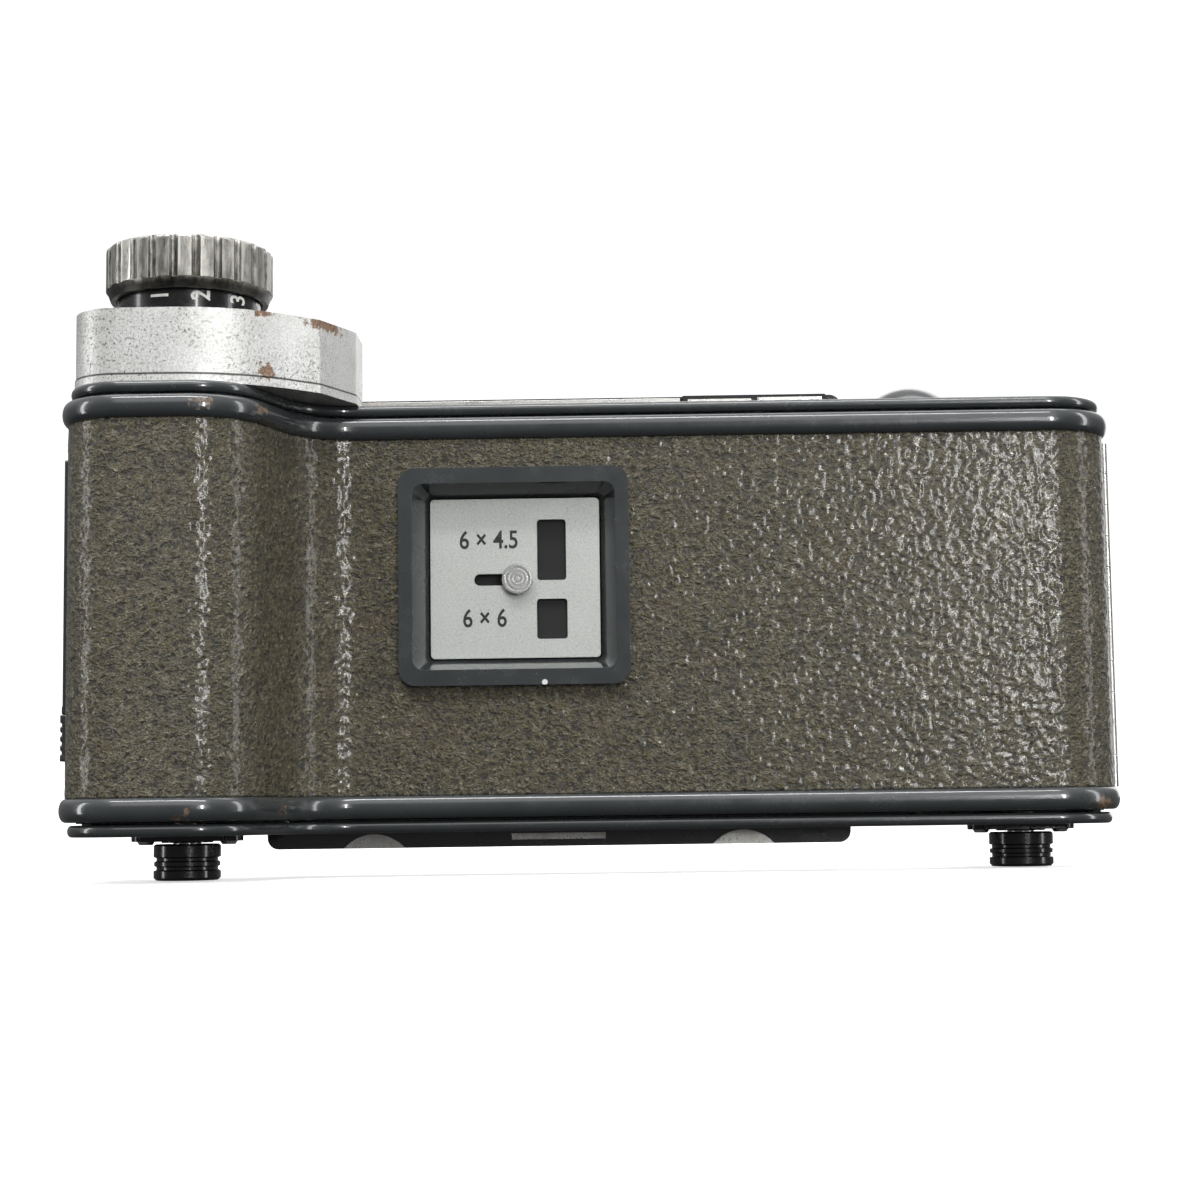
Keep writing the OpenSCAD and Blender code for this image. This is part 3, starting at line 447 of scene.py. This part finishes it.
def turned_finish(name, node):
    """Faced on a lathe: rings round the middle of the node."""
    low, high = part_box(node)
    middle = (low + high) / 2
    s = Shader(name, metallic=1.0, anisotropic=0.5)
    ring_pitch = 0.75 * MM
    moved = s.vector("SUBTRACT", s.place, (middle.x, 0, middle.z))
    from_axis = s.vector("LENGTH", s.vector("MULTIPLY", moved, (1, 0, 1)), output="Value")
    ring = s.math("SINE", s.math("MULTIPLY", from_axis, 2 * math.pi / ring_pitch))
    shade = s.span(ring, -1.0, 1.0)
    colour = s.mix(shade, (0.4, 0.4, 0.39), (0.86, 0.86, 0.85))
    s.set(base_color=colour, roughness=s.span(shade, 0, 1, 0.3, 0.2))
    s.bump(shade, 0.012)
    s.bump(s.noise(0.5, 4, 0.8), 0.01)
    return s.mat


def red_glass(name):
    s = Shader(name, transmission_weight=0.6, roughness=0.12, ior=1.5)
    s.set(base_color=s.mix(s.noise(3, 3), (0.25, 0.006, 0.006), (0.4, 0.012, 0.01)))
    return s.mat


def felt(name):
    s = Shader(name, roughness=0.95, sheen_weight=0.5, sheen_roughness=0.4)
    fibre = s.noise(0.2, 5, 0.8, stretch=(1, 1, 3))
    s.set(base_color=s.mix(fibre, (0.004, 0.004, 0.004), (0.03, 0.03, 0.03)))
    s.bump(fibre, 0.08)
    return s.mat


def white_paint(name):
    s = Shader(name, roughness=0.5)
    s.set(base_color=s.mix(s.span(s.noise(0.5, 4, 0.7), 0.3, 0.7), (0.62, 0.61, 0.57), (0.85, 0.85, 0.82)))
    s.bump(s.noise(0.3, 3), 0.01)
    return s.mat


def print_black(name):
    s = Shader(name, roughness=0.5)
    rubbed = s.span(s.noise(0.3, 4, 0.8), 0.6, 0.75)
    s.set(base_color=s.mix(rubbed, (0.012, 0.012, 0.013), (0.12, 0.12, 0.12)))
    s.bump(s.noise(0.3, 3), 0.004)
    return s.mat


def floor_finish(name):
    s = Shader(name, roughness=0.7, specular_ior_level=0.2, emission_strength=0.6)
    s.set(base_color=s.mix(s.noise(400, 2), (0.9, 0.9, 0.9), (0.93, 0.93, 0.93)), emission_color=(1, 1, 1))
    return s.mat


CASE_GREY = (0.036, 0.041, 0.043)
# Spots: a point and a radius in millimetres, and a scale for each axis.
FRAME_NICK = ((-1.7, -23.5, -12.6), 0.9, (1, 0.3, 1))
RIM_WEAR = [((-60, -49, 35.5), 2.6, (0.6, 0.6, 1.2)), ((-51, -42, 35.5), 2.2, (0.7, 0.5, 1.2)),
            ((-63, -49, -36), 2.6, (0.8, 0.6, 1.0)), ((-47, -35, -36), 2.6, (0.8, 0.6, 1.0)),
            ((101, -20, -36), 3.4, (0.7, 0.6, 1.5))]

MATERIALS = {
    "case_enamel": lambda n: enamel(n, CASE_GREY, RIM_WEAR, FRAME_NICK),
    "flange_black": lambda n: enamel(n, (0.014, 0.015, 0.016)),
    "nickel": lambda n: bare_metal(n, (0.68, 0.67, 0.64), 0.3, tarnish=0.6),
    "housing_plate": housing_finish,
    "knob_metal": knob_finish,
    "dial_black": gloss_black,
    "steel": lambda n: bare_metal(n, (0.5, 0.5, 0.49), 0.28, grain=(1, 1, 12)),
    "spring_steel": lambda n: bare_metal(n, (0.3, 0.31, 0.33), 0.35),
    "brass": lambda n: bare_metal(n, (0.62, 0.45, 0.2), 0.3, grain=(1, 1, 8)),
    "spring_brass": lambda n: bare_metal(n, (0.6, 0.43, 0.24), 0.32, grain=(6, 1, 1)),
    "inner_black": matt_black,
    "leatherette": leatherette_finish,
    "window_metal": plate_finish,
    "turned_metal": lambda n: turned_finish(n, "shutter_knob"),
    "red_glass": red_glass,
    "felt": felt,
    "spool_plastic": lambda n: gloss_black(n, 0.012),
    "stud_black": gloss_black,
    "index_red": lambda n: enamel(n, (0.3, 0.055, 0.025)),
    "shutter_black": matt_black,
}


@functools.cache
def material(slot):
    return MATERIALS[slot](slot)


# ---- CAD nodes: rounded edges and finishes ----

EDGE_MM = {"winding_housing": 0.6, "body_casting": 0.25, "camera_flange": 0.3, "window_frame": 0.8,
           "wind_knob": 0.18, "housing_base_plate": 0.15, "latch_guide": 0.3, "latch_slide": 0.3,
           "latch_thumb": 0.25, "gate_frame": 0.2}
FINE_EDGE_MM = 0.08
WELD_MM = 0.002
SHARPEST_SMOOTH = math.radians(35)
OTHER_FINISH = {"roller_cap": "flange_black"}
LEFT_ALONE = {"clutch_spring", "take_up_stud_spring", "supply_stud_spring", "rim_mouldings", "counter_dial"}


def finish_node(name, slot):
    piece = NODES[name]
    mesh = piece.data
    mesh.materials.clear()
    mesh.materials.append(material(OTHER_FINISH.get(name, slot)))
    mesh.polygons.foreach_set("material_index", [0] * len(mesh.polygons))
    mesh.polygons.foreach_set("use_smooth", [True] * len(mesh.polygons))
    if name in LEFT_ALONE:
        return
    if "custom_normal" in mesh.attributes:
        mesh.attributes.remove(mesh.attributes["custom_normal"])
    weld = piece.modifiers.new("weld", "WELD")
    weld.merge_threshold = WELD_MM * MM
    bevel = piece.modifiers.new("edges", "BEVEL")
    bevel.width = EDGE_MM.get(name, FINE_EDGE_MM) * MM
    bevel.segments = 3
    bevel.limit_method = "ANGLE"
    bevel.angle_limit = SHARPEST_SMOOTH
    bevel.harden_normals = True


def finish_nodes():
    for row in frame["record"]["subparts"]:
        finish_node(row["node"], row["material_slot"])


# ---- The leatherette's embossed surface ----

CORNER_R, BEND_R, BEND_ANGLE, BEND_START_X = 12 * MM, 13 * MM, math.radians(71), -63.5 * MM


def lattice_noise(u, v, size, seed):
    """Smooth noise between -1 and 1 on a grid of the size given."""
    rng = np.random.default_rng(seed)
    table = rng.uniform(-1, 1, (256, 256))
    x, y = u / size, v / size
    i, j = np.floor(x).astype(int), np.floor(y).astype(int)
    a, b = x - i, y - j
    a, b = a * a * (3 - 2 * a), b * b * (3 - 2 * b)

    def corner(di, dj):
        return table[(i + di) % 256, (j + dj) % 256]

    low = corner(0, 0) * (1 - a) + corner(1, 0) * a
    high = corner(0, 1) * (1 - a) + corner(1, 1) * a
    return low * (1 - b) + high * b


def emboss(u, v):
    """Height of the grain, from 0 to 1: short wandering wrinkles between small pits."""
    warp = 0.45 * MM * lattice_noise(u, v, 1.5 * MM, 3)
    wrinkles = 1 - 2 * np.abs(lattice_noise((u + warp) / 1.8, v + warp, 0.75 * MM, 5))
    pebbles = lattice_noise(u + 0.5 * warp, v - warp, 0.7 * MM, 7)
    swell = lattice_noise(u, v, 7 * MM, 11)
    return np.clip(0.42 + 0.26 * wrinkles + 0.4 * pebbles + 0.08 * swell, 0, 1)


def arc_points(centre, radius, start, stop, step):
    count = max(2, int(abs(stop - start) * radius / step))
    return [(centre[0] + radius * math.cos(a), centre[1] + radius * math.sin(a))
            for a in np.linspace(start, stop, count)]


class Plan:
    """The cover's outer face seen from above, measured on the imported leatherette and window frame."""

    def __init__(self):
        low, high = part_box("back_leatherette")
        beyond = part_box("window_frame")[1].x
        verts = np.array([v.co for v in NODES["back_leatherette"].data.vertices])
        self.left, self.right, self.rear = low.x, high.x, low.y
        self.flat = verts[verts[:, 0] > beyond][:, 1].min()
        self.left_end = verts[verts[:, 0] < low.x + 0.1 * MM][:, 1].max()
        self.right_end = high.y
        self.low_z, self.high_z = low.z, high.z

    def path(self, left_end, right_end, inset=0.0, step=0.3 * MM):
        """Points from the latch side round the bulge and the S-bend to the hinge side."""
        turn, bend = math.pi / 2, BEND_ANGLE
        drop = self.flat - self.rear - 2 * BEND_R * (1 - math.cos(bend))
        straight = drop / math.sin(bend)
        concave_x = BEND_START_X + 2 * BEND_R * math.sin(bend) + straight * math.cos(bend)
        corner, convex, concave = CORNER_R - inset, BEND_R - inset, BEND_R + inset
        points = [(self.left + inset, left_end)]
        points += arc_points((self.left + CORNER_R, self.rear + CORNER_R), corner, 2 * turn, 3 * turn, step)
        points += arc_points((BEND_START_X, self.rear + BEND_R), convex, 3 * turn, 3 * turn + bend, step)
        points += arc_points((concave_x, self.flat - BEND_R), concave, turn + bend, turn, step)
        points += arc_points((self.right - CORNER_R, self.flat + CORNER_R), corner, 3 * turn, 4 * turn, step)
        points += [(self.right - inset, right_end)]
        return np.array(points)


def resampled(path, step):
    """Evenly spaced points on the path, with their distances along it."""
    lengths = np.concatenate([[0], np.cumsum(np.linalg.norm(np.diff(path, axis=0), axis=1))])
    count = int(lengths[-1] / step)
    at = np.linspace(0, lengths[-1], count)
    return at, np.column_stack([np.interp(at, lengths, path[:, k]) for k in (0, 1)])


def outward_of(plan):
    """Unit vectors that point out of the cover along the plan."""
    tangent = np.gradient(plan, axis=0)
    tangent /= np.linalg.norm(tangent, axis=1)[:, None]
    return np.column_stack([tangent[:, 1], -tangent[:, 0]])


def make_leatherette(plan_of):
    """An embossed skin over the cover with a hole behind the window frame and a skirt round its edges."""
    frame_low, frame_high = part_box("window_frame")
    step, skirt, height, inset = 0.3 * MM, 0.35 * MM, 0.16 * MM, 0.7 * MM
    along, plan = resampled(plan_of.path(plan_of.left_end, plan_of.right_end), step)
    outward = outward_of(plan)
    levels = np.linspace(plan_of.low_z, plan_of.high_z, int((plan_of.high_z - plan_of.low_z) / step))
    u, v = np.meshgrid(along, levels, indexing="ij")
    grain = emboss(u, v)
    rise = height * (grain - 1)
    x = plan[:, 0][:, None] + outward[:, 0][:, None] * rise
    y = plan[:, 1][:, None] + outward[:, 1][:, None] * rise
    n, m = u.shape
    points = np.column_stack([x.ravel(), y.ravel(), v.ravel()])
    in_x = (plan[:, 0] > frame_low.x + inset) & (plan[:, 0] < frame_high.x - inset)
    in_z = (levels > frame_low.z + inset) & (levels < frame_high.z - inset)
    hole = (in_x[:-1] & in_x[1:])[:, None] & (in_z[:-1] & in_z[1:])[None, :]
    index = np.arange(n * m).reshape(n, m)
    quads = np.stack([index[:-1, :-1], index[1:, :-1], index[1:, 1:], index[:-1, 1:]], axis=-1)[~hole]
    used, faces = np.unique(quads, return_inverse=True)
    faces = faces.reshape(-1, 4)
    edges = np.concatenate([faces[:, [k, (k + 1) % 4]] for k in range(4)])
    whole = {(int(a), int(b)) for a, b in edges}
    open_edges = sorted((a, b) for a, b in whole if (b, a) not in whole)
    rim = sorted({k for edge in open_edges for k in edge})
    below = {k: len(used) + i for i, k in enumerate(rim)}
    walls = [(b, a, below[a], below[b]) for a, b in open_edges]
    inward = np.column_stack([np.repeat(outward[:, 0], m), np.repeat(outward[:, 1], m), np.zeros(n * m)])
    sunk = (points - inward * skirt)[used[rim]]
    piece = add_mesh("leatherette_cloth", np.concatenate([points[used], sunk]), [*faces, *walls])
    heights = np.concatenate([grain.ravel()[used], grain.ravel()[used[rim]]])
    piece.data.attributes.new("grain", "FLOAT", "POINT").data.foreach_set("value", heights.astype(np.float32))
    piece.data.materials.append(material("leatherette"))
    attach(piece, "cover")
    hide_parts("back_leatherette")


# ---- Rolled mouldings along the edges ----

def swept_bead(name, plan, z_low, z_high, stand, fullness):
    """A half-round moulding that follows a plan, bulging out by stand between two heights."""
    sides = 16
    outward = outward_of(plan)
    angles = np.linspace(0, math.pi, sides + 1)
    out = stand * np.sin(angles) ** fullness
    out[0] = out[-1] = 0.0
    levels = (z_low + z_high) / 2 - (z_high - z_low) / 2 * np.cos(angles)
    x = plan[:, 0][:, None] + outward[:, 0][:, None] * out
    y = plan[:, 1][:, None] + outward[:, 1][:, None] * out
    z = np.broadcast_to(levels, x.shape)
    n, m = x.shape
    index = np.arange(n * m).reshape(n, m)
    beyond = np.roll(index, -1, 1)
    faces = np.stack([index[:-1, :], index[1:, :], beyond[1:, :], beyond[:-1, :]], -1)
    ends = [tuple(index[0, ::-1]), tuple(index[-1, :])]
    points = np.column_stack([x.ravel(), y.ravel(), z.ravel()])
    piece = add_mesh(name, points, [*faces.reshape(-1, 4), *ends])
    piece.data.materials.append(material("case_enamel"))
    return piece


def make_beads(plan_of):
    """The cover's two rim mouldings, and the casting's narrower ones above and below them."""
    low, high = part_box("rim_mouldings")
    skin, stand, tuck = 0.6 * MM, 1.6 * MM, 0.02 * MM
    ends = (plan_of.left_end - 0.4 * MM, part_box("back_cover")[1].y)
    _, plan = resampled(plan_of.path(*ends, inset=skin), 0.5 * MM)
    for side, z in (("top", (plan_of.high_z, high.z)), ("bottom", (low.z, plan_of.low_z))):
        bead = swept_bead(f"cover_moulding_{side}", plan, *z, stand, 0.7)
        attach(bead, "cover")
        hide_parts("rim_mouldings")
    case_low, case_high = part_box("body_casting")
    inset, plate, case_stand = 1.4 * MM, 2.1 * MM, 0.9 * MM
    case_ends = (plan_of.left_end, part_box("hinge_leaf_body")[0].y)
    _, plan = resampled(plan_of.path(*case_ends, inset=inset + tuck), 0.5 * MM)
    for side, z in (("top", (case_high.z - plate, case_high.z)),
                    ("bottom", (case_low.z, case_low.z + plate))):
        bead = swept_bead(f"case_moulding_{side}", plan, *z, case_stand, 0.8)
        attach(bead, "case")


# ---- Numerals and marks ----

SQUEEZE, BOLD = 0.82, 0.07 * MM


def text_outline(text, size):
    """A flat, triangulated mesh of the text, centred, in metres: points (x, y) and triangles."""
    curve = bpy.data.curves.new("glyphs", "FONT")
    curve.body = text
    curve.size = size
    curve.align_x = "CENTER"
    curve.align_y = "CENTER"
    curve.resolution_u = 6
    curve.offset = BOLD
    holder = bpy.data.objects.new("glyphs", curve)
    bpy.context.scene.collection.objects.link(holder)
    bpy.context.view_layer.update()
    mesh = bpy.data.meshes.new_from_object(holder)
    mesh.calc_loop_triangles()
    points = np.array([v.co[:2] for v in mesh.vertices])
    points -= (points.min(0) + points.max(0)) / 2
    points[:, 0] *= SQUEEZE
    triangles = [tuple(t.vertices) for t in mesh.loop_triangles]
    bpy.data.objects.remove(holder)
    bpy.data.meshes.remove(mesh)
    return points, triangles


def raised(name, points, triangles, to_space, thickness):
    """A closed solid from a flat outline: to_space(point, height) places it."""
    count = len(points)
    top = [to_space(p, thickness) for p in points]
    bottom = [to_space(p, 0.0) for p in points]
    whole = {(t[k], t[(k + 1) % 3]) for t in triangles for k in range(3)}
    walls = [(b, a, a + count, b + count) for a, b in sorted(whole) if (b, a) not in whole]
    faces = [*triangles, *[(c + count, b + count, a + count) for a, b, c in triangles], *walls]
    return add_mesh(name, top + bottom, faces, smooth=False)


def disc(radius, count=14):
    points = np.array([(0, 0)] + [(radius * math.cos(a), radius * math.sin(a))
                                  for a in np.linspace(0, 2 * math.pi, count, endpoint=False)])
    return points, [(0, 1 + k, 1 + (k + 1) % count) for k in range(count)]


def split_long(points, triangles, longest):
    """Halves the edges that are over the length given, up to three times, so that the outline can be bent."""
    points, triangles = [tuple(p) for p in points], list(triangles)
    middle = {}

    def half(a, b):
        key = (min(a, b), max(a, b))
        if key not in middle:
            middle[key] = len(points)
            points.append(tuple((p + q) / 2 for p, q in zip(points[a], points[b])))
        return middle[key]

    for _ in range(3):
        done = []
        cut = {(min(a, b), max(a, b)) for t in triangles for a, b in zip(t, t[1:] + t[:1])
               if math.dist(points[a], points[b]) > longest}
        for a, b, c in triangles:
            flags = [(min(p, q), max(p, q)) in cut for p, q in ((a, b), (b, c), (c, a))]
            if sum(flags) == 3:
                ab, bc, ca = half(a, b), half(b, c), half(c, a)
                done += [(a, ab, ca), (ab, b, bc), (ca, bc, c), (ab, bc, ca)]
            elif sum(flags) == 0:
                done.append((a, b, c))
            else:
                while not flags[0]:
                    a, b, c = b, c, a
                    flags = flags[1:] + flags[:1]
                ab = half(a, b)
                if flags[1]:
                    bc = half(b, c)
                    done += [(ab, b, bc), (a, ab, bc), (a, bc, c)]
                elif flags[2]:
                    ca = half(c, a)
                    done += [(a, ab, ca), (ab, b, c), (ab, c, ca)]
                else:
                    done += [(a, ab, c), (ab, b, c)]
        triangles = done
    return points, triangles


def make_dial_numerals():
    """Exposure numbers round the dial's band, lying on their sides, with a white dot by each."""
    low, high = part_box("counter_dial")
    middle = (low + high) / 2
    radius = (high.x - low.x) / 2
    band_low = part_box("winding_housing")[1].z + 0.5 * MM
    numbers = [str(k) for k in range(1, 11)]
    spacing = 2 * math.pi / (len(numbers) + 1)
    first = math.radians(-13.4)
    size, digit_z, dot_z, dot_r = 4.8 * MM, band_low + 2.9 * MM, band_low + 0.55 * MM, 0.22 * MM
    thickness, sunk, longest = 0.05 * MM, 0.02 * MM, 0.35 * MM
    for k, text in enumerate(numbers):
        facing = first + k * spacing

        def on_band(point, lift, base_z, sideways):
            across, up = (-point[1], point[0]) if sideways else (point[0], point[1])
            angle = facing + across / radius
            reach = radius - sunk + lift
            return (middle.x + reach * math.sin(angle), middle.y - reach * math.cos(angle), base_z + up)

        outline = split_long(*text_outline(text, size), longest)
        digit = raised(f"dial_number_{text}", *outline, lambda p, h: on_band(p, h, digit_z, True), thickness)
        dot = raised(f"dial_dot_{text}", *disc(dot_r), lambda p, h: on_band(p, h, dot_z, False), thickness)
        for piece in (digit, dot):
            piece.data.materials.append(MARK_WHITE)
            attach(piece, "dial")


def make_plate_marks():
    """The two frame sizes beside their windows."""
    low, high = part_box("window_plate")
    middle = (low + high) / 2
    size, thickness = 4.75 * MM, 0.02 * MM
    for name, text, dx, dz in (("mark_long", "6 × 4.5", -4.9, 7.3), ("mark_square", "6 × 6", -5.7, -7.4)):
        outline = text_outline(text, size)
        centre = (middle.x + dx * MM, middle.z + dz * MM)
        piece = raised(name, *outline,
                       lambda p, h: (centre[0] + p[0], low.y - h, centre[1] + p[1]), thickness)
        piece.data.materials.append(MARK_BLACK)
        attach(piece, "cover")


# ---- Assembly ----

set_camera()
set_light()
set_world()
bpy.context.scene.view_settings.view_transform = "Standard"
bowl = studio_bowl(CAD_BOX[0][2] - FLOOR_GAP)
bowl.data.materials.append(floor_finish("studio_floor"))
MARK_WHITE = white_paint("mark_white")
MARK_BLACK = print_black("mark_black")
finish_nodes()
plan_of_cover = Plan()
make_leatherette(plan_of_cover)
make_beads(plan_of_cover)
make_dial_numerals()
make_plate_marks()
